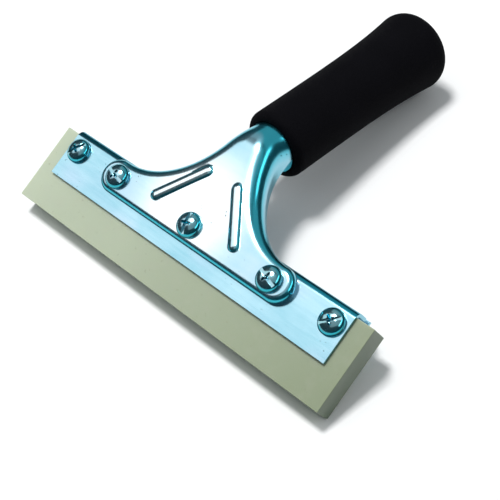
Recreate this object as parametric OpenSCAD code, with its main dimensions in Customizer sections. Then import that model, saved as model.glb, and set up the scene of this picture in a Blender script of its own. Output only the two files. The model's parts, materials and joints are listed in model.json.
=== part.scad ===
// Clamp-bar squeegee applicator with a replaceable rubber blade and a foam-covered handle.
//
// The tool is modelled upright: x runs along the blade, y from the front of the clamp to its rear,
// and z from the blade towards the handle.  y = 0 is the front of the front clamp plate and z = 0
// its top edge.  lying() then lays the tool face up on a table, where it rests on the rear edge of
// the blade and on the far end of the grip.

/* [Blade] */
// Length of the blade
blade_len = 152.4; // [140:0.2:160]
// Thickness of the blade
blade_t = 9.4; // [9:0.1:9.5]
// Height of the blade
blade_h = 31.1; // [28:0.1:36]
// Gap between the blade's top and the underside of the fold
blade_top_gap = 0.6; // [0.5:0.1:1.5]

/* [Clamp] */
// Length of the clamp plates
clamp_len = 138; // [136:0.5:140]
// Height of the clamp plates
clamp_h = 19.5; // [18:0.5:22]
// Sheet thickness of the plates and the bracket
sheet_t = 1.2; // [1:0.1:1.4]
// Space between the two clamp plates
clamp_gap = 9.5; // [9.5:0.1:10]
// Depth of the fold over the blade's top
fold_depth = 7; // [5:0.5:9]
// Outer radius of the fold
fold_r = 1.8; // [1.6:0.1:2]

/* [Fasteners] */
// Height of the row of screws below the top of the clamp
screw_drop = 7.4; // [7:0.1:8]
// Distance of the outer screws from the middle
outer_screw_x = 63.4; // [62:0.1:64]
// Distance of the bracket's end screws from the middle
inner_screw_x = 38; // [37:0.1:39]
// Thread diameter
screw_d = 5; // [5:5]
// Length of the outer screws below the head
outer_screw_len = 18; // [18:1:20]
// Length of the bracket screws below the head
inner_screw_len = 22; // [22:1:24]
// Diameter of the pan heads
head_d = 9.5; // [9:0.1:10]
// Height of the pan heads
head_h = 3.3; // [3:0.1:3.6]
// Width across the flats of the nuts
nut_af = 8; // [8:8]
// Thickness of the nuts
nut_h = 4; // [4:0.1:4.7]
// Thickness of the lock washers
washer_t = 1.2; // [1:0.1:1.4]
// Outer diameter of the lock washers
washer_d = 9.2; // [8.8:0.1:9.4]

/* [Bracket] */
// Height of the bracket's face in front of the plate
pan_depth = 3.6; // [3.2:0.1:4]
// Outer radius where the bracket's edge rolls down to the plate
pan_roll_r = 2.5; // [2:0.1:3]
// Distance of the pan's rounded ends from the middle
lobe_x = 40.2; // [40:0.1:41]
// Outer radius of the pan's rounded ends
lobe_r = 6.6; // [6.4:0.1:6.8]
// Outer diameter of the handle tube
tube_d = 20; // [19:0.5:21]
// Angle by which the handle leans back
lean = 30.5; // [28:0.5:33]
// Width of the stamped ribs
rib_w = 4; // [3:0.1:5]
// Height of the stamped ribs
rib_h = 0.9; // [0.5:0.1:1.2]

/* [Grip] */
// Length of the foam grip
grip_len = 82; // [78:1:90]
// Radius of the grip where the hand holds it
grip_r = 13.2; // [12:0.1:14]
// Radius of the grip's flared far end
grip_end_r = 16.6; // [15:0.1:17]
// Rounding of the grip's far end
grip_end_round = 7.5; // [5:0.5:9]
// Rounding of the grip's near end
grip_mouth_round = 2.8; // [2:0.1:3]

/* [Hidden] */
$fn = 64;
EPS = 0.01;
tube_r = tube_d / 2;
tube_wall = sheet_t + 0.3;
// The neck's sheet runs into the middle of the tube's wall
neck_r = tube_r - 0.13;
neck_flat = 0.2;
tube_lip = 0.3;

// Places along the depth of the clamp
blade_y = sheet_t + (clamp_gap - blade_t) / 2;
rear_plate_y = sheet_t + clamp_gap;
washer_y = rear_plate_y + sheet_t;
nut_y = washer_y + washer_t;
pan_y = -pan_depth;
blade_top = -sheet_t - blade_top_gap;
blade_bottom = blade_top - blade_h;

// Screws from left to right: x, y of the seat under the head, length, and turn of the slot
screws = [
    [-outer_screw_x, 0, outer_screw_len, -56],
    [-inner_screw_x, pan_y, inner_screw_len, 14.5],
    [0, pan_y, inner_screw_len, 76],
    [inner_screw_x, pan_y, inner_screw_len, 18.5],
    [outer_screw_x, 0, outer_screw_len, -42.5]
];
screw_hole_r = screw_d / 2 + 0.25;
blade_slot_r = screw_d / 2 + 0.3;
nut_bore_r = screw_d / 2 + 0.1;
// Recess of a screw's head: a slot right across and a short, deeper cross
slot_w = 1.2;
slot_depth = 1.5;
cross_w = 1.1;
cross_len = 4.4;
cross_depth = 2.2;
tip_chamfer = 0.6;
tip_len = 0.8;
nut_chamfer = 0.5;
nut_turn = 17;
// Split of a lock washer: its width, its slant, and its turns from washer to washer
split_w = 0.8;
split_slant = 25;
split_first_turn = 70;
split_turn = 40;
// Ends of a stamped rib: distance from the middle, and height above the clamp's top
rib_top = [7.2, 11.8];
rib_foot = [19.4, -4.9];

// Handle axis: the mouth is the middle of the grip's near end
lean_y = sin(lean);
lean_z = cos(lean);
mouth = [0, 9.5, 32.5];
bend_r = 16;
tube_end = grip_len - 10;

// Front line of the bracket: straight up the pan, round a bend, then along the tube
tube_front = mouth + neck_r * [0, -lean_z, lean_y];
corner_z = tube_front.z - (tube_front.y - pan_y) * lean_z / lean_y;
bend_tangent = bend_r * tan(lean / 2);
bend_start = corner_z - bend_tangent;
bend_len = bend_r * lean * PI / 180;
tube_run = norm([tube_front.y - pan_y, tube_front.z - corner_z]) - bend_tangent;
mouth_s = bend_start + bend_len + tube_run;

// Outline of the pan's concave shoulders: a Bezier curve from the lobe to the tube
pan_bottom = -screw_drop - lobe_r + 0.1;
lobe_z = pan_bottom + lobe_r;
shoulder = [
    [lobe_x, lobe_z + lobe_r],
    [18.5, lobe_z + lobe_r],
    [8.4, 25.3],
    [neck_r, mouth_s]
];
// Depth that the neck's side walls reach where they meet the grip
neck_rim_y = 9.5;
// Middle line that the sections meet on: its lower end, its climb along the edge and round the lobe,
// and how far it stays below the outline where the neck starts
middle_low = -10.5;
middle_edge_climb = 1.5;
middle_lobe_climb = 1.8;
middle_drop = 6.3;
edge_steps = 3;
lobe_steps = 8;
neck_steps = 18;
wall_steps = 2;
roll_steps = 6;
flat_steps = 2;
stub = 1;
across = 2 * (wall_steps + roll_steps + flat_steps) + 1;

// The tilt that lays the tool face up on the blade's rear edge and the grip's far end
blade_heel = [rear_plate_y - (clamp_gap - blade_t) / 2, blade_bottom];
grip_end_c = [mouth.y, mouth.z] + (grip_len - grip_end_round) * [lean_y, lean_z];
grip_low_c = grip_end_c + (grip_end_r - grip_end_round) * [lean_z, -lean_y];
grip_high_c = grip_end_c - (grip_end_r - grip_end_round) * [lean_z, -lean_y];
span = grip_low_c - blade_heel;
table_lean = atan2(span[0], span[1]) + asin(grip_end_round / norm(span));
table_z = -cos(table_lean) * blade_heel[0] + sin(table_lean) * blade_heel[1];
y_low = sin(table_lean) * blade_y + cos(table_lean) * blade_bottom;
y_high = sin(table_lean) * grip_high_c[0] + cos(table_lean) * grip_high_c[1] + grip_end_round;

module lying() {
    translate([0, -(y_low + y_high) / 2, -table_z]) rotate([table_lean - 90, 0, 0]) children();
}

// A hole, slot or shank along y at a screw's place
module along_y(x, y, z = -screw_drop) {
    translate([x, y, z]) rotate([-90, 0, 0]) children();
}

module screw_holes(count_from, count_to, y, depth) {
    for (i = [count_from : count_to])
        along_y(screws[i][0], y - EPS) cylinder(r = screw_hole_r, h = depth + 2 * EPS);
}

// Extrudes a profile drawn in (y, z) along x, centred on the middle
module bar(len) {
    translate([-len / 2, 0, 0]) rotate([90, 0, 90]) linear_extrude(len) children();
}

module blade() {
    color([0.76, 0.78, 0.70]) lying() difference() {
        translate([-blade_len / 2, blade_y, blade_bottom]) cube([blade_len, blade_t, blade_h]);
        for (s = screws) {
            along_y(s[0], blade_y - 1) cylinder(r = blade_slot_r, h = blade_t + 2);
            translate([s[0] - blade_slot_r, blade_y - 1, -screw_drop])
                cube([2 * blade_slot_r, blade_t + 2, screw_drop]);
        }
    }
}

module fold_profile() {
    translate([0, -clamp_h]) square([sheet_t, clamp_h - fold_r]);
    translate([fold_r, -sheet_t]) square([fold_depth - fold_r, sheet_t]);
    intersection() {
        translate([fold_r, -fold_r]) difference() {
            circle(r = fold_r);
            circle(r = fold_r - sheet_t);
        }
        translate([0, -fold_r]) square(fold_r);
    }
}

module front_clamp_plate() {
    color([0.66, 0.85, 0.90]) lying() difference() {
        bar(clamp_len) fold_profile();
        screw_holes(0, 4, 0, sheet_t);
    }
}

module rear_clamp_plate() {
    color([0.60, 0.78, 0.83]) lying() difference() {
        translate([-clamp_len / 2, rear_plate_y, -clamp_h]) cube([clamp_len, sheet_t, clamp_h]);
        screw_holes(0, 4, rear_plate_y, sheet_t);
    }
}

// The bracket's sheet: every outline point carries a section that climbs from the rim, rolls over
// and crosses the flat face to the middle line.  s is the length along the front line.
function ease(t) = let (c = min(max(t, 0), 1)) c * c * (3 - 2 * c);
function front_angle(s) = min(max((s - bend_start) / bend_len, 0), 1) * lean;
function front_y(s) = pan_y + bend_r * (1 - cos(front_angle(s)))
    + max(s - bend_start - bend_len, 0) * lean_y;
function front_z(s) = s < bend_start ? s
    : bend_start + bend_r * sin(front_angle(s)) + max(s - bend_start - bend_len, 0) * lean_z;
function tilt(s) = lean * ease(s / mouth_s);
function on_sheet(x, s, d) = [
    x,
    front_y(s) + d * cos(tilt(s)),
    front_z(s) - d * sin(tilt(s))
];
function bezier(p, u) = pow(1 - u, 3) * p[0] + 3 * u * pow(1 - u, 2) * p[1]
    + 3 * u * u * (1 - u) * p[2] + pow(u, 3) * p[3];
function bezier_slope(p, u) = 3 * pow(1 - u, 2) * (p[1] - p[0])
    + 6 * u * (1 - u) * (p[2] - p[1]) + 3 * u * u * (p[3] - p[2]);
function unit(v) = v / norm(v);

// One station: [outline point, inward direction, roll radius, wall depth, middle-line place]
edge_stations = [
    for (i = [0 : edge_steps - 1]) let (t = i / edge_steps)
        [[lobe_x * t, pan_bottom], [0, 1], pan_roll_r, pan_depth,
         middle_low + middle_edge_climb * t]
];
lobe_stations = [
    for (i = [0 : lobe_steps - 1]) let (t = i / lobe_steps, a = -90 + 180 * t)
        [[lobe_x + lobe_r * cos(a), lobe_z + lobe_r * sin(a)], [-cos(a), -sin(a)],
         pan_roll_r, pan_depth, middle_low + middle_edge_climb + middle_lobe_climb * t]
];
neck_stations = [
    for (i = [0 : neck_steps])
        let (u = i / neck_steps,
             p = bezier(shoulder, u),
             g = unit(bezier_slope(shoulder, u)),
             inward = unit((1 - u * u) * [-g.y, g.x] + u * u * [-1, 0]),
             roll = pan_roll_r + (neck_r - neck_flat - pan_roll_r) * (1 - pow(1 - u, 1.3)),
             rim = neck_rim_y * ease(u))
        [p, inward, roll,
         (rim - front_y(p.y)) / cos(tilt(p.y)), p.y - middle_drop * pow(1 - u, 2)]
];
stub_station = let (last = neck_stations[neck_steps])
    [last[0] + [0, stub], last[1], last[2], last[3], last[4] + stub];
stations = concat(edge_stations, lobe_stations, neck_stations, [stub_station]);

// Points of one half section on the outer skin (skin = 0) or the inner skin (skin = sheet_t)
function half_section(st, skin, side) = let (
        p = st[0], n = st[1], r = st[2], e = st[3],
        inner = p + n * r)
    concat(
        [for (j = [0 : wall_steps - 1]) let (q = p + n * skin)
            on_sheet(side * q.x, q.y, e + (r - e) * j / wall_steps)],
        [for (j = [0 : roll_steps - 1]) let (a = 90 * j / roll_steps,
                q = p + n * (r - (r - skin) * cos(a)))
            on_sheet(side * q.x, q.y, r - (r - skin) * sin(a))],
        [for (j = [0 : flat_steps - 1]) let (q = inner + ([0, st[4]] - inner) * j / flat_steps)
            on_sheet(side * q.x, q.y, skin)]);
function full_section(st, skin) = let (
        right = half_section(st, skin, 1), left = half_section(st, skin, -1))
    concat(right, [on_sheet(0, st[4], skin)],
           [for (j = [len(left) - 1 : -1 : 0]) left[j]]);

// Place of a point in the list: the first section's two halves lie on the middle line and are one
function at(i, j) = i * across + (i == 0 ? min(j, across - 1 - j) : j);
function quad(a, b, c, d, turned = false) = turned ? [[d, b, a], [c, d, a]] : [[c, b, a], [c, d, b]];

module bracket_sheet() {
    rows = len(stations);
    outer = [for (st = stations) each full_section(st, 0)];
    inner = [for (st = stations) each full_section(st, sheet_t)];
    m = rows * across;
    last = across - 1;
    top = [for (i = [0 : rows - 2], j = [0 : across - 2])
        each quad(at(i, j), at(i + 1, j), at(i, j + 1), at(i + 1, j + 1), j >= last / 2)];
    under = [for (f = top) [f[2] + m, f[1] + m, f[0] + m]];
    rims = [for (i = [0 : rows - 2]) each concat(
        quad(at(i, 0), at(i, 0) + m, at(i + 1, 0), at(i + 1, 0) + m),
        quad(at(i, last), at(i + 1, last), at(i, last) + m, at(i + 1, last) + m))];
    end = [for (j = [0 : across - 2])
        each quad(at(rows - 1, j), at(rows - 1, j) + m, at(rows - 1, j + 1), at(rows - 1, j + 1) + m)];
    polyhedron(concat(outer, inner), concat(top, under, rims, end), convexity = 6);
}

// A stamped rib from one place on the pan's face to another
module rib(from, to) {
    run = to - from;
    face = pan_y - rib_h;
    depth = rib_h + sheet_t / 2;
    translate([from.x, face, from.y]) rotate([-90, 0, 0]) cylinder(r = rib_w / 2, h = depth);
    translate([to.x, face, to.y]) rotate([-90, 0, 0]) cylinder(r = rib_w / 2, h = depth);
    translate([from.x, face, from.y]) rotate([0, -atan2(run.y, run.x), 0])
        translate([0, 0, -rib_w / 2]) cube([norm(run), depth, rib_w]);
}

module handle_tube() {
    translate(mouth) rotate([-lean, 0, 0]) difference() {
        translate([0, 0, -tube_lip]) cylinder(r = tube_r, h = tube_lip + tube_end);
        translate([0, 0, -tube_lip - 1]) cylinder(r = tube_r - tube_wall, h = tube_lip + tube_end + 2);
    }
}

module handle_bracket() {
    color([0.55, 0.80, 0.88]) lying() difference() {
        union() {
            bracket_sheet();
            handle_tube();
            for (side = [-1, 1]) rib([side * rib_top.x, rib_top.y], [side * rib_foot.x, rib_foot.y]);
        }
        screw_holes(1, 3, pan_y - 1, pan_depth);
    }
}

// Radius of the grip along its length, before its ends are rounded
function grip_at(z) = grip_r + (grip_end_r - grip_r) * pow(z / grip_len, 4.2);

module foam_grip() {
    bore_r = tube_r + 0.05;
    bore_end = tube_end + 0.5;
    start = grip_mouth_round;
    stop = grip_len - grip_end_round;
    profile = concat(
        [[bore_r, 0]],
        [for (i = [0 : 6]) let (a = 90 * i / 6)
            [grip_at(start) - start * (1 - sin(a)), start * (1 - cos(a))]],
        [for (i = [1 : 14]) let (z = start + (stop - start) * i / 14) [grip_at(z), z]],
        [for (i = [1 : 10]) let (a = 90 * i / 10, lip = grip_at(stop) - grip_end_round)
            [lip + (grip_end_r - grip_at(stop)) * sin(a) + grip_end_round * cos(a),
             stop + grip_end_round * sin(a)]],
        [[0, grip_len], [0, bore_end], [bore_r, bore_end]]);
    color([0.07, 0.07, 0.08]) lying() translate(mouth) rotate([-lean, 0, 0])
        rotate_extrude($fn = 96) polygon(profile);
}

// A straight cut across the top of a screw's head
module recess(len, w, depth) {
    translate([-len / 2, -w / 2, -head_h - 1]) cube([len, w, depth + 1]);
}

// A pan-head machine screw with a combined slot and cross recess
module clamp_screw(i) {
    s = screws[i];
    head_r = head_d / 2;
    crown = head_h / 2;
    dome_r = (head_r * head_r + crown * crown) / (2 * crown);
    color([0.45, 0.68, 0.72]) lying() along_y(s[0], s[1]) {
        difference() {
            intersection() {
                translate([0, 0, -head_h]) cylinder(r = head_r, h = head_h);
                translate([0, 0, dome_r - head_h]) sphere(r = dome_r, $fn = 96);
            }
            rotate([0, 0, s[3]]) {
                recess(head_d + 2, slot_w, slot_depth);
                for (a = [0, 90]) rotate([0, 0, a]) recess(cross_len, cross_w, cross_depth);
            }
        }
        cylinder(r = screw_d / 2, h = s[2] - tip_len);
        translate([0, 0, s[2] - tip_len])
            cylinder(r1 = screw_d / 2, r2 = screw_d / 2 - tip_chamfer, h = tip_len);
    }
}

// A split spring washer
module lock_washer(i) {
    color([0.50, 0.62, 0.65]) lying() along_y(screws[i][0], washer_y) difference() {
        cylinder(r = washer_d / 2, h = washer_t);
        translate([0, 0, -1]) cylinder(r = nut_bore_r, h = washer_t + 2);
        rotate([0, 0, split_first_turn + split_turn * i]) translate([0, 0, washer_t / 2])
            rotate([split_slant, 0, 0]) translate([0, -split_w / 2, -2]) cube([6, split_w, 4]);
    }
}

// A hexagon nut with chamfered corners
module hex_nut(i) {
    flat_r = nut_af / 2;
    corner_r = flat_r / cos(30);
    color([0.50, 0.70, 0.75]) lying() along_y(screws[i][0], nut_y) difference() {
        intersection() {
            rotate([0, 0, nut_turn * i]) cylinder(r = corner_r, h = nut_h, $fn = 6);
            union() {
                cylinder(r1 = flat_r, r2 = flat_r + 1, h = nut_chamfer);
                translate([0, 0, nut_chamfer]) cylinder(r = flat_r + 1, h = nut_h - 2 * nut_chamfer);
                translate([0, 0, nut_h - nut_chamfer])
                    cylinder(r1 = flat_r + 1, r2 = flat_r, h = nut_chamfer);
            }
        }
        translate([0, 0, -1]) cylinder(r = nut_bore_r, h = nut_h + 2);
    }
}

blade();
front_clamp_plate();
rear_clamp_plate();
handle_bracket();
foam_grip();
clamp_screw(0);  // clamp_screw_1
clamp_screw(1);  // clamp_screw_2
clamp_screw(2);  // clamp_screw_3
clamp_screw(3);  // clamp_screw_4
clamp_screw(4);  // clamp_screw_5
lock_washer(0);  // lock_washer_1
lock_washer(1);  // lock_washer_2
lock_washer(2);  // lock_washer_3
lock_washer(3);  // lock_washer_4
lock_washer(4);  // lock_washer_5
hex_nut(0);  // hex_nut_1
hex_nut(1);  // hex_nut_2
hex_nut(2);  // hex_nut_3
hex_nut(3);  // hex_nut_4
hex_nut(4);  // hex_nut_5
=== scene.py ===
"""The looks of a clamp-bar squeegee applicator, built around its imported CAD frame."""
import json
import math

import bmesh
import bpy
from mathutils import Matrix, Vector


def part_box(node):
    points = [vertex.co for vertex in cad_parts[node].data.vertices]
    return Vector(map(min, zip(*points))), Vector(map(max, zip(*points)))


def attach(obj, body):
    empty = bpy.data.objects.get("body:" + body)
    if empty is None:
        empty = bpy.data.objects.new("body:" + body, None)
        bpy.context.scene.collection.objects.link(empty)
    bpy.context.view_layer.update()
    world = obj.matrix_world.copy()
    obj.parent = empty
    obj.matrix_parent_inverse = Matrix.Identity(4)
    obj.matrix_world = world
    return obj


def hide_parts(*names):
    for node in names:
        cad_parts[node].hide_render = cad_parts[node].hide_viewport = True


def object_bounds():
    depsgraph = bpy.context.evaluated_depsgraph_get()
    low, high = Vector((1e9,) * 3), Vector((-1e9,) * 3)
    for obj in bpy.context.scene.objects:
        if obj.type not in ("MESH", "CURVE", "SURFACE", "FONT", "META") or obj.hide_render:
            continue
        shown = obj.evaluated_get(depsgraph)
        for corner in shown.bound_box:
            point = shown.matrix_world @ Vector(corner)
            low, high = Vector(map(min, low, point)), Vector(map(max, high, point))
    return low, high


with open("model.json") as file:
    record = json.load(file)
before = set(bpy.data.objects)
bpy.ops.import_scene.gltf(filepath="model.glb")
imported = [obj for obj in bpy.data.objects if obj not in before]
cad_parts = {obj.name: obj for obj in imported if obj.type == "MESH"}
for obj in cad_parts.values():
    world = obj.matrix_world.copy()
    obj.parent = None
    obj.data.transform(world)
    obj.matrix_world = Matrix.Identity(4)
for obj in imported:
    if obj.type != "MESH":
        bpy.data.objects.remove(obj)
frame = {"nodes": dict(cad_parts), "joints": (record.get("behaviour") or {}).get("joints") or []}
cad_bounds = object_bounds()

# ---------------------------------------------------------------- the blade's own frame
# Pieces are built upright in millimetres, as the part is designed: x along the blade, y from the
# front of the clamp to its rear, and z from the blade towards the handle.  The middle screw's seat
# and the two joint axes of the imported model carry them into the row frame.
MM = 0.001
PAN_DEPTH = 3.6
SCREW_DROP = 7.4
JOINTS = {joint["name"]: joint for joint in frame["joints"]}
BACK = -Vector(JOINTS["screw_3_turn"]["axis"])
UP = -Vector(JOINTS["blade_slide"]["axis"])
ORIGIN = Vector(JOINTS["screw_3_turn"]["pos_m"]) + MM * (PAN_DEPTH * BACK + SCREW_DROP * UP)
TO_ROW = Matrix.Translation(ORIGIN) @ Matrix(
    (
        (MM, BACK.x * MM, UP.x * MM, 0),
        (0, BACK.y * MM, UP.y * MM, 0),
        (0, BACK.z * MM, UP.z * MM, 0),
        (0, 0, 0, 1),
    )
)

# ---------------------------------------------------------------- sizes, in millimetres
SHEET = 1.2
SHEET_EDGE = 0.14
PAN_Y = -PAN_DEPTH
CLAMP_LEN = (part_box("front_clamp_plate")[1].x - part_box("front_clamp_plate")[0].x) / MM
CLAMP_H = 19.5
FOLD_DEPTH = 7.0
FOLD_R = 2.8
HOLE_R = 2.75
THREAD_R = 2.5
THREAD_ROOT_R = 2.08
PITCH = 0.8
HEAD_R = 4.75
HEAD_H = 3.3
HEAD_RIM = 0.16
HEAD_POWER = 2 / 2.1
HEAD_CHAMFER = (0.25, 0.3)
SLOT_HALF_W = 0.6
SLOT_DEPTH = 1.25
CROSS_HALF_W = 0.58
CROSS_TOP_REACH = 2.1
CROSS_FOOT_REACH = 0.5
CROSS_FOOT_SHARE = 0.3
CROSS_DEPTH = 2.4
WELL_TOP_R = 0.95
WELL_FOOT_R = 0.35
THREAD_CHAMFER = 0.9
SLOT_TURNS = (-56, 14.5, 76, 18.5, -42.5)
SHANK_LENGTHS = (18, 22, 22, 22, 18)
PAN_ROLL_R = 2.5
LOBE_X = 40.2
LOBE_R = 6.6
TUBE_R = 9.82
TUBE_BORE_R = 8.5
TUBE_LIP = 0.3
TUBE_SHOWN = 20
NECK_R = 9.84
NECK_FLAT = 0.2
NECK_RIM_Y = 9.5
LEAN = math.radians(30.5)
MOUTH = Vector((0, 9.5, 32.5))
BEND_R = 16.0
RIB_H = 0.85
RIB_HALF_W = 2.15
RIB_ENDS = (Vector((7.2, 11.8)), Vector((19.4, -4.9)))
GRIP_LEN = 82.0
GRIP_FLARE = 4.2
GRIP_BORE_GAP = 0.12
GRIP_BORE_END = 74
GRIP_R = 13.16
GRIP_END_R = 16.6
GRIP_END_ROUND = 7.5
GRIP_MOUTH_ROUND = 2.8


# ---------------------------------------------------------------- mesh helpers
def make_object(name, bm, material, body, nodes, sharp=32):
    """A finished piece from a mesh in the blade's frame."""
    bmesh.ops.remove_doubles(bm, verts=bm.verts, dist=1e-4)
    bmesh.ops.recalc_face_normals(bm, faces=bm.faces)
    limit = math.radians(sharp)
    for edge in bm.edges:
        edge.smooth = len(edge.link_faces) == 2 and edge.calc_face_angle(0) < limit
    for face in bm.faces:
        face.smooth = True
    mesh = bpy.data.meshes.new(name)
    bm.to_mesh(mesh)
    bm.free()
    mesh.transform(TO_ROW)
    mesh.materials.append(material)
    piece = bpy.data.objects.new(name, mesh)
    bpy.context.scene.collection.objects.link(piece)
    # wide faces lead the normals, so that they reflect as flat right up to their rounded edges
    weights = piece.modifiers.new("weights", "WEIGHTED_NORMAL")
    weights.keep_sharp = True
    evaluated = piece.evaluated_get(bpy.context.evaluated_depsgraph_get())
    piece.data = bpy.data.meshes.new_from_object(evaluated)
    piece.modifiers.clear()
    piece.data.name = name
    bpy.data.meshes.remove(mesh)
    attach(piece, body)
    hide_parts(*nodes)
    return piece


def scratch_object(bm):
    """A passing object for a modifier to work on."""
    mesh = bpy.data.meshes.new("scratch")
    bm.to_mesh(mesh)
    bm.free()
    scratch = bpy.data.objects.new("scratch", mesh)
    bpy.context.scene.collection.objects.link(scratch)
    return scratch


def worked(bm, cutters=(), bevel=0.0, segments=2, angle=30):
    """The mesh with the cutters taken out and its sharp edges rounded."""
    body = scratch_object(bm)
    tools = [scratch_object(cutter) for cutter in cutters]
    for tool in tools:
        cut = body.modifiers.new("cut", "BOOLEAN")
        cut.operation = "DIFFERENCE"
        cut.solver = "EXACT"
        cut.object = tool
    if bevel:
        rounding = body.modifiers.new("rounding", "BEVEL")
        rounding.width = bevel
        rounding.segments = segments
        rounding.limit_method = "ANGLE"
        rounding.angle_limit = math.radians(angle)
    evaluated = body.evaluated_get(bpy.context.evaluated_depsgraph_get())
    result = bmesh.new()
    result.from_mesh(evaluated.to_mesh())
    evaluated.to_mesh_clear()
    for scratch in [body, *tools]:
        mesh = scratch.data
        bpy.data.objects.remove(scratch)
        bpy.data.meshes.remove(mesh)
    return result


def box_mesh(low, high):
    bm = bmesh.new()
    bmesh.ops.create_cube(bm, size=1)
    low, high = Vector(low), Vector(high)
    size = high - low
    bmesh.ops.transform(
        bm,
        verts=bm.verts,
        matrix=Matrix.Translation((low + high) / 2) @ Matrix.Diagonal((*size, 1)),
    )
    return bm


def lathe(profile, segments, closed=False):
    """Turns a profile of (radius, height) points about the z axis."""
    bm = bmesh.new()
    rings = []
    for radius, height in profile:
        if radius < 1e-6:
            rings.append([bm.verts.new((0, 0, height))] * segments)
            continue
        turns = [2 * math.pi * k / segments for k in range(segments)]
        rings.append([bm.verts.new((radius * math.cos(t), radius * math.sin(t), height)) for t in turns])
    pairs = list(zip(rings, rings[1:]))
    if closed:
        pairs.append((rings[-1], rings[0]))
    for low, high in pairs:
        for k in range(segments):
            corners = [low[k], low[(k + 1) % segments], high[(k + 1) % segments], high[k]]
            corners = [c for i, c in enumerate(corners) if c not in corners[:i]]
            if len(corners) > 2:
                bm.faces.new(corners)
    return bm


def moved(bm, matrix):
    bmesh.ops.transform(bm, verts=bm.verts, matrix=matrix)
    return bm


def joined(bm, other):
    """The first mesh with the second one added."""
    mesh = bpy.data.meshes.new("scratch")
    other.to_mesh(mesh)
    other.free()
    bm.from_mesh(mesh)
    bpy.data.meshes.remove(mesh)
    return bm


def cad_copy(node):
    """A CAD node's mesh, welded, in the blade's frame, with its flat faces whole."""
    bm = bmesh.new()
    bm.from_mesh(frame["nodes"][node].data)
    bmesh.ops.transform(bm, verts=bm.verts, matrix=TO_ROW.inverted())
    bmesh.ops.remove_doubles(bm, verts=bm.verts, dist=2e-3)
    bmesh.ops.dissolve_limit(bm, angle_limit=math.radians(0.6), verts=bm.verts, edges=bm.edges)
    return bm


def along_y(x, y, turn=0.0):
    """Carries a piece that is built along z to a screw's place, pointing to the rear."""
    return (
        Matrix.Translation((x, y, -SCREW_DROP))
        @ Matrix.Rotation(math.radians(-90), 4, "X")
        @ Matrix.Rotation(math.radians(turn), 4, "Z")
    )


def drill(x, y, depth):
    """A cutter for one screw hole, from y to the rear."""
    return moved(lathe([(0, 0), (HOLE_R, 0), (HOLE_R, depth), (0, depth)], 48), along_y(x, y))


def seat(index):
    """A screw's seat under its head, in the blade's frame."""
    return TO_ROW.inverted() @ Vector(JOINTS[f"screw_{index}_turn"]["pos_m"])


# ---------------------------------------------------------------- material helpers
class Shader:
    """A short way to write a node material."""

    def __init__(self, name):
        self.material = bpy.data.materials.new(name)
        self.material.use_nodes = True
        self.nodes = self.material.node_tree.nodes
        self.links = self.material.node_tree.links
        self.surface = self.nodes["Principled BSDF"]

    def node(self, kind, inputs=None, **settings):
        node = self.nodes.new(kind)
        for key, value in settings.items():
            setattr(node, key, value)
        for key, value in (inputs or {}).items():
            self.feed(node.inputs[key], value)
        return node

    def feed(self, socket, value):
        if isinstance(value, bpy.types.NodeSocket):
            self.links.new(value, socket)
        else:
            socket.default_value = value

    def set(self, **values):
        for key, value in values.items():
            self.feed(self.surface.inputs[key.replace("_", " ")], value)

    def place(self):
        return self.node("ShaderNodeTexCoord").outputs["Object"]

    def stretched(self, scale):
        return self.node("ShaderNodeMapping", {"Vector": self.place(), "Scale": scale}).outputs[0]

    def noise(self, scale, detail=2.0, vector=None, roughness=0.5):
        vector = vector or self.place()
        inputs = {"Vector": vector, "Scale": scale, "Detail": detail, "Roughness": roughness}
        return self.node("ShaderNodeTexNoise", inputs).outputs["Fac"]

    def ramp(self, factor, *stops):
        node = self.node("ShaderNodeValToRGB", {"Fac": factor})
        elements = node.color_ramp.elements
        while len(elements) < len(stops):
            elements.new(0.5)
        for element, (position, color) in zip(elements, stops):
            element.position = position
            element.color = (*color, 1) if hasattr(color, "__len__") else (color, color, color, 1)
        return node.outputs["Color"]

    def mix(self, factor, a, b, blend="MIX"):
        node = self.node("ShaderNodeMix", data_type="RGBA", blend_type=blend)
        self.feed(node.inputs[0], factor)
        for socket, value in ((node.inputs[6], a), (node.inputs[7], b)):
            self.feed(socket, (*value, 1) if isinstance(value, tuple) else value)
        return node.outputs[2]

    def math(self, operation, *values):
        node = self.node("ShaderNodeMath", operation=operation)
        for socket, value in zip(node.inputs, values):
            self.feed(socket, value)
        return node.outputs[0]

    def along(self, direction, low, high):
        """0 to 1 along a direction of the row frame, between two distances in metres."""
        dot = self.node("ShaderNodeVectorMath", {0: self.place(), 1: direction}, operation="DOT_PRODUCT")
        inputs = {"Value": dot.outputs["Value"], "From Min": low, "From Max": high}
        return self.node("ShaderNodeMapRange", inputs, clamp=True).outputs[0]

    def near(self, place, core, reach):
        """1 within core of a place of the blade's frame, falling to 0 at reach, in millimetres."""
        inputs = {0: self.place(), 1: tuple(TO_ROW @ Vector(place))}
        distance = self.node("ShaderNodeVectorMath", inputs, operation="DISTANCE").outputs["Value"]
        inputs = {"Value": distance, "From Min": reach * MM, "From Max": core * MM}
        return self.node("ShaderNodeMapRange", inputs, interpolation_type="SMOOTHSTEP").outputs[0]

    def facing(self, direction):
        """How squarely the surface looks along a direction of the row frame: 1 straight on, 0 side on."""
        inputs = {0: self.node("ShaderNodeNewGeometry").outputs["Normal"], 1: direction}
        return self.node("ShaderNodeVectorMath", inputs, operation="DOT_PRODUCT").outputs["Value"]

    def bump(self, height, distance, strength=1.0):
        inputs = {"Height": height, "Distance": distance, "Strength": strength}
        self.set(Normal=self.node("ShaderNodeBump", inputs).outputs[0])


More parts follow.
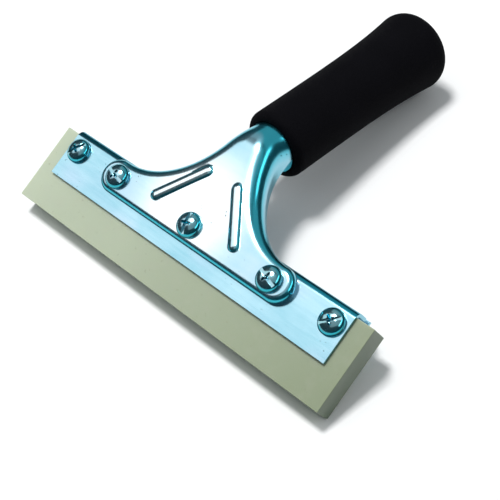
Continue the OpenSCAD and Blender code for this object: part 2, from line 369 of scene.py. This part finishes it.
def zinc(name, pale, deep, roughness=0.2, streaks=1.0, reflection_fade=(0.8, 0.985), painted_highlight=None):
    """Bright zinc plate with a blue passivate: pale on the flat faces, with a painted reflection that
    tints every bent face deep teal.

    reflection_fade gives the two ends of the painted reflection's fade from deep to pale, as how squarely
    a face looks to the front, and painted_highlight is the place, core and reach of a painted highlight
    that makes part of a flat face palest.
    """
    s = Shader(name)
    # painted reflection: faces that do not look squarely to the front, the bends, rolled edges and side
    # walls, are tinted deep teal in place of the dark teal reflections the sheet shows there
    facing = s.math("ABSOLUTE", s.facing(tuple(-BACK)))
    painted_reflection = s.ramp(facing, (0.0, 0.35), (0.45, 1.0), (reflection_fade[0], 1.0), (reflection_fade[1], 0.0))
    clouds = s.ramp(s.noise(55, 3.0), (0.35, 0.0), (0.7, 0.6))
    tint = s.mix(clouds, pale, tuple(0.55 * p + 0.45 * d for p, d in zip(pale, deep)))
    lilac = s.ramp(s.noise(38, 1.0, s.stretched((1, 2.2, 2.2))), (0.5, 0.0), (0.75, 0.35))
    tint = s.mix(lilac, tint, (0.62, 0.66, 0.84))
    # painted highlight: a paler patch at one fixed place of a flat face
    if painted_highlight:
        tint = s.mix(s.near(*painted_highlight), tint, (0.92, 0.97, 1.0))
    tint = s.mix(painted_reflection, tint, deep)
    grain = s.noise(420, 4.0, s.stretched((0.16, 1.4, 1.4)))
    tint = s.mix(s.math("MULTIPLY", s.ramp(grain, (0.4, 0.0), (0.7, 1.0)), 0.16 * streaks), tint, deep)
    specks = s.ramp(s.noise(900, 1.0), (0.735, 0.0), (0.76, 1.0))
    patches = s.ramp(s.noise(70, 0.0), (0.52, 0.0), (0.6, 1.0))
    marks = s.math("MULTIPLY", specks, patches)
    s.set(Base_Color=s.mix(s.math("MULTIPLY", marks, 0.8), tint, (0.03, 0.07, 0.08)))
    dull = s.math("MULTIPLY_ADD", s.noise(160, 3.0), 0.10, roughness - 0.05)
    s.set(Metallic=1.0, Roughness=s.math("MULTIPLY_ADD", marks, 0.3, dull))
    s.bump(grain, 0.00002, 0.35)
    return s.material


def urethane(name):
    """Cast polyurethane: a pale olive strip that lets a little light in."""
    s = Shader(name)
    clouds = s.ramp(s.noise(26, 3.0), (0.3, 0.0), (0.72, 1.0))
    body = s.mix(s.along((1, 0, 0), -0.08, 0.08), (0.50, 0.56, 0.425), (0.235, 0.28, 0.17))
    body = s.mix(s.math("MULTIPLY", clouds, 0.3), body, (0.31, 0.35, 0.25))
    blotches = s.ramp(s.noise(210, 3.0), (0.5, 0.0), (0.78, 1.0))
    body = s.mix(s.math("MULTIPLY", blotches, 0.14), body, (0.45, 0.43, 0.37))
    specks = s.ramp(s.noise(620, 2.0), (0.68, 0.0), (0.74, 1.0))
    body = s.mix(s.math("MULTIPLY", specks, 0.25), body, (0.20, 0.19, 0.13))
    # painted shade: faces that turn towards the blade's ends are darkened to a deep olive
    painted_end_shade = s.facing((1, 0, 0))
    body = s.mix(s.ramp(painted_end_shade, (0.5, 0.0), (0.9, 1.0)), body, (0.12, 0.155, 0.105))
    s.set(Base_Color=body, Roughness=s.math("MULTIPLY_ADD", s.noise(300, 2.0), 0.14, 0.36))
    s.set(Subsurface_Weight=0.35, Subsurface_Radius=(1.0, 0.9, 0.6), Subsurface_Scale=0.004)
    s.set(IOR=1.5, Coat_Weight=0.08, Coat_Roughness=0.3)
    s.bump(s.noise(340, 3.0), 0.00003, 0.5)
    return s.material


def foam(name):
    """Closed-cell foam: near black, with a fine open grain that catches specks of light."""
    s = Shader(name)
    cells = s.node("ShaderNodeTexVoronoi", {"Vector": s.place(), "Scale": 2100.0}).outputs["Distance"]
    grain = s.noise(1500, 5.0, roughness=0.7)
    patches = s.noise(60, 2.0)
    dark = s.mix(patches, (0.0018, 0.0018, 0.0026), (0.0035, 0.0033, 0.0048))
    flecks = s.ramp(grain, (0.6, 0.0), (0.8, 1.0))
    s.set(Base_Color=s.mix(s.math("MULTIPLY", flecks, 0.7), dark, (0.016, 0.015, 0.02)))
    s.set(Roughness=s.math("MULTIPLY_ADD", grain, 0.2, 0.72), Specular_IOR_Level=0.04)
    s.bump(s.math("ADD", s.math("MULTIPLY", cells, 0.5), grain), 0.00022, 0.8)
    return s.material


# each zinc below carries a painted reflection on its bent faces
BRACKET_METAL = zinc(
    "bracket_zinc",
    (0.46, 0.66, 0.76),
    (0.05, 0.46, 0.58),
    0.2,
    0.4,
    reflection_fade=(0.86, 0.997),
    # painted highlight: the bracket's pan is palest round this place
    painted_highlight=((-4, PAN_Y, -2), 9, 30),
)
PLATE_METAL = zinc("plate_zinc", (0.42, 0.66, 0.76), (0.02, 0.34, 0.46), 0.18, reflection_fade=(0.92, 0.995))
SCREW_METAL = zinc("screw_zinc", (0.32, 0.52, 0.57), (0.04, 0.42, 0.52), 0.17, 0.3, reflection_fade=(0.72, 0.97))
NUT_METAL = zinc("nut_zinc", (0.30, 0.48, 0.54), (0.12, 0.38, 0.46), 0.26, 0.3)
BLADE_RUBBER = urethane("blade_urethane")
GRIP_FOAM = foam("grip_foam")


# ---------------------------------------------------------------- the clamp
def blade():
    bm = worked(cad_copy("blade"), bevel=0.3, segments=3)
    return make_object("urethane_blade", bm, BLADE_RUBBER, "blade", ["blade"])


def fold_profile():
    """Outline of the front plate in (y, z): up its face, round the fold, and back underneath."""
    turns = [math.radians(90 * k / 14) for k in range(15)]
    inner_r = FOLD_R - SHEET
    outside = [(FOLD_R - FOLD_R * math.cos(t), -FOLD_R + FOLD_R * math.sin(t)) for t in turns]
    inside = [(FOLD_R - inner_r * math.cos(t), -FOLD_R + inner_r * math.sin(t)) for t in reversed(turns)]
    return [(0, -CLAMP_H), *outside, (FOLD_DEPTH, 0), (FOLD_DEPTH, -SHEET), *inside, (SHEET, -CLAMP_H)]


def front_plate():
    bm = bmesh.new()
    half = CLAMP_LEN / 2
    ends = [[bm.verts.new((x, y, z)) for y, z in fold_profile()] for x in (-half, half)]
    bm.faces.new(ends[0])
    bm.faces.new(reversed(ends[1]))
    count = len(ends[0])
    for k in range(count):
        following = (k + 1) % count
        bm.faces.new((ends[0][k], ends[1][k], ends[1][following], ends[0][following]))
    bmesh.ops.recalc_face_normals(bm, faces=bm.faces)
    holes = [drill(seat(i).x, -1, 3) for i in range(1, 6)]
    bm = worked(bm, holes, bevel=SHEET_EDGE, segments=2, angle=40)
    return make_object(
        "front_plate", bm, PLATE_METAL, "handle_frame", ["front_clamp_plate"], sharp=40
    )


def rear_plate():
    bm = worked(cad_copy("rear_clamp_plate"), bevel=SHEET_EDGE, segments=2)
    return make_object("rear_plate", bm, PLATE_METAL, "handle_frame", ["rear_clamp_plate"])


# ---------------------------------------------------------------- the bracket
# The sheet is laid out flat as (x, s), with s running up its face.  Above BEND_START it bends back by
# LEAN, and at MOUTH_S it has become the tube.
LEAN_Y = math.sin(LEAN)
LEAN_Z = math.cos(LEAN)
FRONT = MOUTH + NECK_R * Vector((0, -LEAN_Z, LEAN_Y))
CORNER_Z = FRONT.z - (FRONT.y - PAN_Y) * LEAN_Z / LEAN_Y
BEND_TANGENT = BEND_R * math.tan(LEAN / 2)
BEND_START = CORNER_Z - BEND_TANGENT
BEND_LEN = BEND_R * LEAN
MOUTH_S = BEND_START + BEND_LEN + math.hypot(FRONT.y - PAN_Y, FRONT.z - CORNER_Z) - BEND_TANGENT
LOBE_Z = -SCREW_DROP + 0.1
PAN_BOTTOM = LOBE_Z - LOBE_R
SHOULDER = [
    Vector((LOBE_X, LOBE_Z + LOBE_R)),
    Vector((18.5, LOBE_Z + LOBE_R)),
    Vector((8.4, 25.3)),
    Vector((NECK_R, MOUTH_S)),
]
EDGE_STEPS = 24
LOBE_STEPS = 40
NECK_STEPS = 128
WALL_STEPS = 3
ROLL_STEPS = 16
FLAT_STEPS = 104
STUB = 4.0


def ease(t):
    """0 to 1 with a soft start and a soft stop."""
    t = min(max(t, 0.0), 1.0)
    return t * t * (3 - 2 * t)


def front_y(s):
    """How far back the face of the sheet is, s up its face."""
    angle = min(max((s - BEND_START) / BEND_LEN, 0), 1) * LEAN
    return PAN_Y + BEND_R * (1 - math.cos(angle)) + max(s - BEND_START - BEND_LEN, 0) * LEAN_Y


def front_z(s):
    """How high the face of the sheet is, s up its face."""
    if s < BEND_START:
        return s
    angle = min((s - BEND_START) / BEND_LEN, 1) * LEAN
    return BEND_START + BEND_R * math.sin(angle) + max(s - BEND_START - BEND_LEN, 0) * LEAN_Z


def on_sheet(x, s, depth):
    """A point behind the face of the sheet, square to it."""
    tilt = LEAN * ease(s / MOUTH_S)
    return Vector((x, front_y(s) + depth * math.cos(tilt), front_z(s) - depth * math.sin(tilt)))


def bezier(points, u):
    weights = ((1 - u) ** 3, 3 * u * (1 - u) ** 2, 3 * u * u * (1 - u), u**3)
    return sum((w * p for w, p in zip(weights, points)), Vector((0, 0)))


def bezier_slope(points, u):
    weights = (3 * (1 - u) ** 2, 6 * u * (1 - u), 3 * u * u)
    steps = [b - a for a, b in zip(points, points[1:])]
    return sum((w * p for w, p in zip(weights, steps)), Vector((0, 0))).normalized()


def bracket_stations():
    """(outline point, inward direction, roll radius, wall depth, middle-line place) along the edge."""
    stations = []
    for i in range(EDGE_STEPS):
        t = i / EDGE_STEPS
        place = Vector((LOBE_X * t, PAN_BOTTOM))
        stations.append((place, Vector((0, 1)), PAN_ROLL_R, PAN_DEPTH, -10.5 + 1.5 * t))
    for i in range(LOBE_STEPS):
        t = i / LOBE_STEPS
        out = Vector((math.cos(math.pi * (t - 0.5)), math.sin(math.pi * (t - 0.5))))
        place = Vector((LOBE_X, LOBE_Z)) + LOBE_R * out
        stations.append((place, -out, PAN_ROLL_R, PAN_DEPTH, -9 + 1.8 * t))
    for i in range(NECK_STEPS + 1):
        u = i / NECK_STEPS
        place = bezier(SHOULDER, u)
        slope = bezier_slope(SHOULDER, u)
        inward = ((1 - u * u) * Vector((-slope.y, slope.x)) + u * u * Vector((-1, 0))).normalized()
        roll = PAN_ROLL_R + (NECK_R - NECK_FLAT - PAN_ROLL_R) * (1 - (1 - u) ** 1.3)
        tilt = LEAN * ease(place.y / MOUTH_S)
        wall = (NECK_RIM_Y * ease(u) - front_y(place.y)) / math.cos(tilt)
        stations.append((place, inward, roll, wall, place.y - 6.3 * (1 - u) ** 2))
    place, inward, roll, wall, middle = stations[-1]
    stations.append((place + Vector((0, STUB)), inward, roll, wall, middle + STUB))
    return stations


def flat_place(t):
    """Places across the flat face, closer together where the ribs are."""
    warp = 0.7 / (2 * math.pi)
    return t - warp * (math.sin(2 * math.pi * (t - 0.42)) + math.sin(2 * math.pi * 0.42))


def rib_lift(x, z):
    """How far a stamped rib raises the sheet."""
    start, stop = RIB_ENDS
    run = stop - start
    place = Vector((abs(x), z))
    share = min(max((place - start).dot(run) / run.length_squared, 0), 1)
    distance = (place - start - share * run).length
    inside = max(0.0, 1 - (distance / RIB_HALF_W) ** 2)
    return RIB_H * inside**0.8


def half_section(station, skin, side):
    """One side of a section through the sheet: its turned-back wall, its rolled edge and its flat."""
    place, inward, roll, wall, middle = station
    points = []
    for j in range(WALL_STEPS):
        q = place + inward * skin
        points.append(on_sheet(side * q.x, q.y, wall + (roll - wall) * j / WALL_STEPS))
    for j in range(ROLL_STEPS):
        a = math.pi / 2 * j / ROLL_STEPS
        q = place + inward * (roll - (roll - skin) * math.cos(a))
        points.append(on_sheet(side * q.x, q.y, roll - (roll - skin) * math.sin(a)))
    inner = place + inward * roll
    for j in range(FLAT_STEPS + 1):
        q = inner.lerp(Vector((0, middle)), flat_place(j / FLAT_STEPS))
        point = on_sheet(side * q.x, q.y, skin)
        point.y -= rib_lift(q.x, q.y)
        points.append(point)
    return points


def bracket():
    bm = bmesh.new()
    stations = bracket_stations()
    skins = []
    for skin in (0, SHEET):
        rows = []
        for station in stations:
            right = half_section(station, skin, 1)
            left = half_section(station, skin, -1)
            rows.append([bm.verts.new(p) for p in right + left[-2::-1]])
        skins.append(rows)
    last = len(skins[0][0]) - 1
    for rows in skins:
        for near, far in zip(rows, rows[1:]):
            for j in range(last):
                bm.faces.new((near[j], far[j], far[j + 1], near[j + 1]))
    outer, inner = skins
    for j in (0, last):
        for i in range(len(stations) - 1):
            bm.faces.new((outer[i][j], outer[i + 1][j], inner[i + 1][j], inner[i][j]))
    for j in range(last):
        bm.faces.new((outer[-1][j], outer[-1][j + 1], inner[-1][j + 1], inner[-1][j]))
    bmesh.ops.remove_doubles(bm, verts=bm.verts, dist=1e-4)
    ends = (-TUBE_LIP, TUBE_SHOWN)
    wall = [(TUBE_BORE_R, ends[0]), (TUBE_R, ends[0]), (TUBE_R, ends[1]), (TUBE_BORE_R, ends[1])]
    bm = joined(bm, moved(lathe(wall, 96, closed=True), handle_place()))
    return make_object(
        "stamped_bracket", bm, BRACKET_METAL, "handle_frame", ["handle_bracket"], sharp=50
    )


# ---------------------------------------------------------------- the grip
def handle_place():
    """Carries a piece that is built along z to the tube's mouth, leaning back with the tube."""
    return Matrix.Translation(MOUTH) @ Matrix.Rotation(-LEAN, 4, "X")


def grip_radius(z):
    return GRIP_R + (GRIP_END_R - GRIP_R) * (z / GRIP_LEN) ** GRIP_FLARE


def grip_profile():
    """Outline of the sleeve in (radius, z): its bore, its mouth, its side and its closed end."""
    bore = TUBE_R + GRIP_BORE_GAP
    start, stop = GRIP_MOUTH_ROUND, GRIP_LEN - GRIP_END_ROUND
    profile = [(bore, 18), (bore, 0.5), (bore + 0.35, 0.0)]
    for k in range(13):
        a = math.pi / 2 * k / 12
        profile.append((grip_radius(start) - start * (1 - math.sin(a)), start * (1 - math.cos(a))))
    for k in range(1, 81):
        z = start + (stop - start) * k / 80
        profile.append((grip_radius(z), z))
    lip = grip_radius(stop) - GRIP_END_ROUND
    for k in range(1, 17):
        a = math.pi / 2 * k / 16
        radius = lip + (GRIP_END_R - grip_radius(stop)) * math.sin(a) + GRIP_END_ROUND * math.cos(a)
        profile.append((radius, stop + GRIP_END_ROUND * math.sin(a)))
    edge = profile[-1][0]
    for k in range(1, 10):
        profile.append((edge * (1 - k / 9), GRIP_LEN))
    profile += [(0, GRIP_BORE_END), (bore, GRIP_BORE_END), (bore, 18)]
    return profile


def grip():
    bm = moved(lathe(grip_profile(), 128), handle_place())
    return make_object("foam_sleeve", bm, GRIP_FOAM, "handle_frame", ["foam_grip"], sharp=60)


# ---------------------------------------------------------------- the fasteners
def wing_mesh(half_width, reach_top, reach_bottom, top, bottom):
    """One blade of a cross recess: it narrows towards its bottom."""
    bm = bmesh.new()
    corners = []
    foot_width = half_width * CROSS_FOOT_SHARE
    for z, reach, width in ((top, reach_top, half_width), (bottom, reach_bottom, foot_width)):
        signs = ((-1, -1), (1, -1), (1, 1), (-1, 1))
        corners.append([bm.verts.new((sx * reach, sy * width, z)) for sx, sy in signs])
    bm.faces.new(corners[0])
    bm.faces.new(reversed(corners[1]))
    for k in range(4):
        bm.faces.new((corners[0][k], corners[1][k], corners[1][(k + 1) % 4], corners[0][(k + 1) % 4]))
    bmesh.ops.recalc_face_normals(bm, faces=bm.faces)
    return bm


def screw_head(turn):
    """A domed pan head with a slot and a cross recess, built with its seat at z = 0."""
    rim = HEAD_RIM * HEAD_H
    profile = [(0, 0), (HEAD_R - HEAD_CHAMFER[0], 0), (HEAD_R, -HEAD_CHAMFER[1])]
    for k in range(25):
        a = math.pi / 2 * k / 24
        height = rim + (HEAD_H - rim) * math.sin(a) ** HEAD_POWER
        profile.append((HEAD_R * max(math.cos(a), 0) ** HEAD_POWER if k < 24 else 0, -height))
    head = lathe(profile, 72)
    bmesh.ops.recalc_face_normals(head, faces=head.faces)
    slot = box_mesh(
        (-HEAD_R - 1, -SLOT_HALF_W, -HEAD_H - 1),
        (HEAD_R + 1, SLOT_HALF_W, -HEAD_H + SLOT_DEPTH),
    )
    top, bottom = -HEAD_H - 0.2, -HEAD_H + CROSS_DEPTH
    wings = []
    for angle in (0, math.pi / 2):
        wing = wing_mesh(CROSS_HALF_W, CROSS_TOP_REACH, CROSS_FOOT_REACH, top, bottom)
        wings.append(moved(wing, Matrix.Rotation(angle, 4, "Z")))
    well = lathe([(0, top), (WELL_TOP_R, top), (WELL_FOOT_R, bottom), (0, bottom + 0.3)], 24)
    bmesh.ops.recalc_face_normals(well, faces=well.faces)
    head = worked(head, [slot, *wings, well], bevel=0.07, segments=2, angle=35)
    return moved(head, Matrix.Rotation(math.radians(turn), 4, "Z"))


def thread(length):
    """A threaded shank from z = 0, with a chamfered tip."""
    bm = bmesh.new()
    around, per_turn = 36, 6
    rows = int(length / PITCH * per_turn)
    rings = []
    for i in range(rows + 1):
        z = length * i / rows
        most = THREAD_R - max(0, z - (length - THREAD_CHAMFER)) * 0.7
        ring = []
        for k in range(around):
            phase = (z / PITCH - k / around) % 1
            ridge = ease(1.6 * (1 - abs(2 * phase - 1)) - 0.2)
            radius = min(THREAD_ROOT_R + (THREAD_R - THREAD_ROOT_R) * ridge, most)
            angle = 2 * math.pi * k / around
            ring.append(bm.verts.new((radius * math.cos(angle), radius * math.sin(angle), z)))
        rings.append(ring)
    for low, high in zip(rings, rings[1:]):
        for k in range(around):
            bm.faces.new((low[k], low[(k + 1) % around], high[(k + 1) % around], high[k]))
    bm.faces.new(rings[-1])
    bm.faces.new(reversed(rings[0]))
    return bm


def screw(index):
    place = seat(index)
    bm = joined(screw_head(SLOT_TURNS[index - 1]), thread(SHANK_LENGTHS[index - 1]))
    moved(bm, along_y(place.x, place.y))
    return make_object(
        f"pan_head_screw_{index}",
        bm,
        SCREW_METAL,
        f"screw_{index}",
        [f"clamp_screw_{index}"],
        sharp=38,
    )


def nut_and_washer(index):
    for name, node in (("nut", "hex_nut"), ("spring_washer", "lock_washer")):
        bm = worked(cad_copy(f"{node}_{index}"), bevel=0.1, segments=2, angle=25)
        make_object(
            f"{name}_{index}",
            bm,
            NUT_METAL,
            f"nut_{index}",
            [f"{node}_{index}"],
            sharp=35,
        )


blade()
front_plate()
rear_plate()
bracket()
grip()
for number in range(1, 6):
    screw(number)
    nut_and_washer(number)


# ---------------------------------------------------------------- floor, light and camera
def floor():
    """A plain white sheet, just under the part."""
    s = Shader("floor_paper")
    s.set(Base_Color=s.mix(s.noise(3, 2.0), (0.86, 0.86, 0.86), (0.88, 0.88, 0.88)), Roughness=0.9)
    s.set(Specular_IOR_Level=0.1)
    bm = bmesh.new()
    bmesh.ops.create_grid(bm, x_segments=8, y_segments=8, size=0.8)
    mesh = bpy.data.meshes.new("floor")
    bm.to_mesh(mesh)
    bm.free()
    mesh.materials.append(s.material)
    ground = bpy.data.objects.new("floor", mesh)
    ground.location.z = cad_bounds[0][2] - 0.0002
    bpy.context.scene.collection.objects.link(ground)


def panel(name, direction, distance, size, power):
    """A soft square light, aimed at the middle of the object."""
    light = bpy.data.lights.new(name, "AREA")
    light.shape = "RECTANGLE"
    light.size, light.size_y = size
    light.energy = power
    lamp = bpy.data.objects.new(name, light)
    target = Vector((0, 0, 0.02))
    lamp.location = target + Vector(direction).normalized() * distance
    lamp.rotation_euler = (target - lamp.location).to_track_quat("-Z", "Y").to_euler()
    bpy.context.scene.collection.objects.link(lamp)


def lighting():
    """Soft panels for the reflections, a high key for the shadow, and a dim sky behind a white view."""
    panel("face_panel", (-0.56, -0.285, 0.78), 0.9, (0.54, 0.68), 1.45)
    panel("side_panel", (0.66, 0.20, 0.66), 1.0, (0.95, 0.20), 1.9)
    panel("top_card", (0.20, -0.20, 0.93), 0.9, (1.0, 0.8), 1.0)
    panel("back_card", (-0.10, 0.62, 0.70), 0.9, (1.2, 0.6), 0.95)
    panel("shadow_key", (-0.21, 0.06, 1.0), 1.6, (0.34, 0.34), 22.0)
    world = bpy.data.worlds.new("studio")
    bpy.context.scene.world = world
    world.use_nodes = True
    nodes, links = world.node_tree.nodes, world.node_tree.links
    background = nodes["Background"]
    seen = nodes.new("ShaderNodeLightPath").outputs["Is Camera Ray"]
    mix = nodes.new("ShaderNodeMix")
    mix.data_type = "RGBA"
    links.new(seen, mix.inputs[0])
    mix.inputs[6].default_value = (0.05, 0.075, 0.085, 1)
    mix.inputs[7].default_value = (0.95, 0.95, 0.95, 1)
    links.new(mix.outputs[2], background.inputs["Color"])


def camera():
    """The view from above the blade's lower right, rolled as the tool lies across the picture."""
    place = Vector((215.0, -305.0, -20.8))
    yaw, pitch, roll = math.radians(32.162), math.radians(2.868), math.radians(35.431)
    ahead = Vector((-math.sin(yaw) * math.cos(pitch), math.cos(yaw) * math.cos(pitch), math.sin(pitch)))
    level = Vector((math.cos(yaw), math.sin(yaw), 0))
    right = level * math.cos(roll) + level.cross(ahead) * math.sin(roll)
    turn = TO_ROW.to_3x3().normalized()
    right, ahead = turn @ right, turn @ ahead
    up = right.cross(ahead)
    data = bpy.data.cameras.new("camera")
    data.lens = 78.22
    data.sensor_width = 36.0
    data.clip_start = 0.01
    data.clip_end = 20.0
    view = bpy.data.objects.new("camera", data)
    axes = Matrix((right, up, -ahead)).transposed().to_4x4()
    view.matrix_world = Matrix.Translation(TO_ROW @ place) @ axes
    bpy.context.scene.collection.objects.link(view)
    bpy.context.scene.camera = view


floor()
lighting()
camera()
bpy.context.scene.view_settings.view_transform = "Standard"
